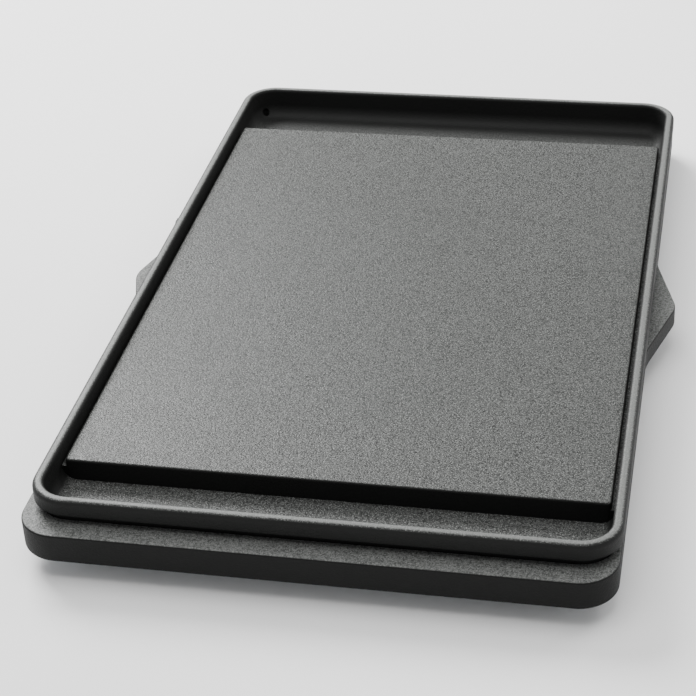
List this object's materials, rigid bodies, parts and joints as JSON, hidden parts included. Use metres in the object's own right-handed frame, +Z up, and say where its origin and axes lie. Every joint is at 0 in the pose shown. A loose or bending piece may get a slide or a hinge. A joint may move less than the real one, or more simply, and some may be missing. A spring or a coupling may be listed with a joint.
{
  "type": "electric griddle",
  "caption": "Low electric griddle: a lift-off cast cooking plate with a raised rim and grease troughs on a flat heated base with lifting ears.",
  "frame": {"origin": "on the table under the middle of the griddle, at the undersides of the feet", "axes": "+Z up, +Y along the griddle's length towards the rear, where the grease drawer is, +X to the right; the knob and power inlet are on the left side (-X)"},
  "size_m": [0.3332, 0.5272, 0.0411],
  "materials": {
    "nonstick_coating": "black non-stick coating over cast aluminium, fine matt stipple",
    "coated_housing": "black stippled coating over cast aluminium",
    "galvanised_steel": "galvanised sheet steel",
    "bright_steel": "aluminised sheet steel, bright",
    "element_sheath": "heat-darkened sheath",
    "zinc_screw": "zinc-plated steel",
    "brass": "plain brass",
    "copper": "plain copper",
    "ceramic": "unglazed steatite",
    "dark_plastic": "black heat-resistant moulding",
    "knob_plastic": "black fine-textured moulding",
    "white_plastic": "white moulded insert",
    "lens_red": "clear red moulding",
    "lamp_glass": "clear lamp glass",
    "pad_rubber": "dark silicone rubber",
    "foot_rubber": "black rubber",
    "wire_brown": "silicone wire sleeve, brown",
    "wire_blue": "silicone wire sleeve, blue",
    "wire_green": "silicone wire sleeve, green"
  },
  "bodies": {
    "base": {"base_housing": "coated_housing", "bottom_cover": "galvanised_steel", "reflector_pan": "bright_steel", "pan_standoffs": "zinc_screw", "heating_element": "element_sheath", "element_terminals": "zinc_screw", "element_bushes": "ceramic", "element_brackets": "galvanised_steel", "bracket_screws": "zinc_screw", "support_pads": "pad_rubber", "control_box": "dark_plastic", "box_screws": "zinc_screw", "heat_shield": "bright_steel", "thermostat_body": "ceramic", "thermostat_nut": "zinc_screw", "dial_ring": "bright_steel", "capillary_tube": "copper", "sensor_holder": "galvanised_steel", "sensor_spring": "zinc_screw", "thermal_fuse": "ceramic", "fuse_clip": "galvanised_steel", "terminal_block": "ceramic", "terminal_screws": "brass", "power_inlet": "dark_plastic", "inlet_pins": "brass", "inlet_screws": "zinc_screw", "live_wires": "wire_brown", "neutral_wires": "wire_blue", "earth_wire": "wire_green", "earth_screw": "zinc_screw", "pilot_lamp": "lamp_glass", "lamp_lens": "lens_red", "feet": "foot_rubber", "foot_screws": "zinc_screw", "foot_nuts": "zinc_screw", "cover_screws": "zinc_screw", "drawer_rails": "galvanised_steel"},
    "plate": {"cooking_plate": "nonstick_coating"},
    "knob": {"thermostat_shaft": "brass", "control_knob": "knob_plastic", "knob_pointer": "white_plastic"},
    "sensor": {"sensor_button": "copper"},
    "drawer": {"grease_drawer": "bright_steel", "drawer_front": "coated_housing"}
  },
  "joints": [
    {"name": "plate_lift", "type": "slide", "parent": "base", "child": "plate", "axis": [0, 0, 1], "range_m": [0, 0.12]},
    {"name": "knob_turn", "type": "hinge", "parent": "base", "child": "knob", "pos_m": [-0.1567, 0.084, 0.0129], "axis": [1, 0, 0], "range_deg": [0, 270]},
    {"name": "sensor_travel", "type": "slide", "parent": "base", "child": "sensor", "axis": [0, 0, 1], "range_m": [-0.0012, 0], "stiffness_N_per_m": 300, "springref_m": 0.002, "deforming": ["sensor_spring"]},
    {"name": "drawer_slide", "type": "slide", "parent": "base", "child": "drawer", "axis": [0, 1, 0], "range_m": [0, 0.06]}
  ]
}
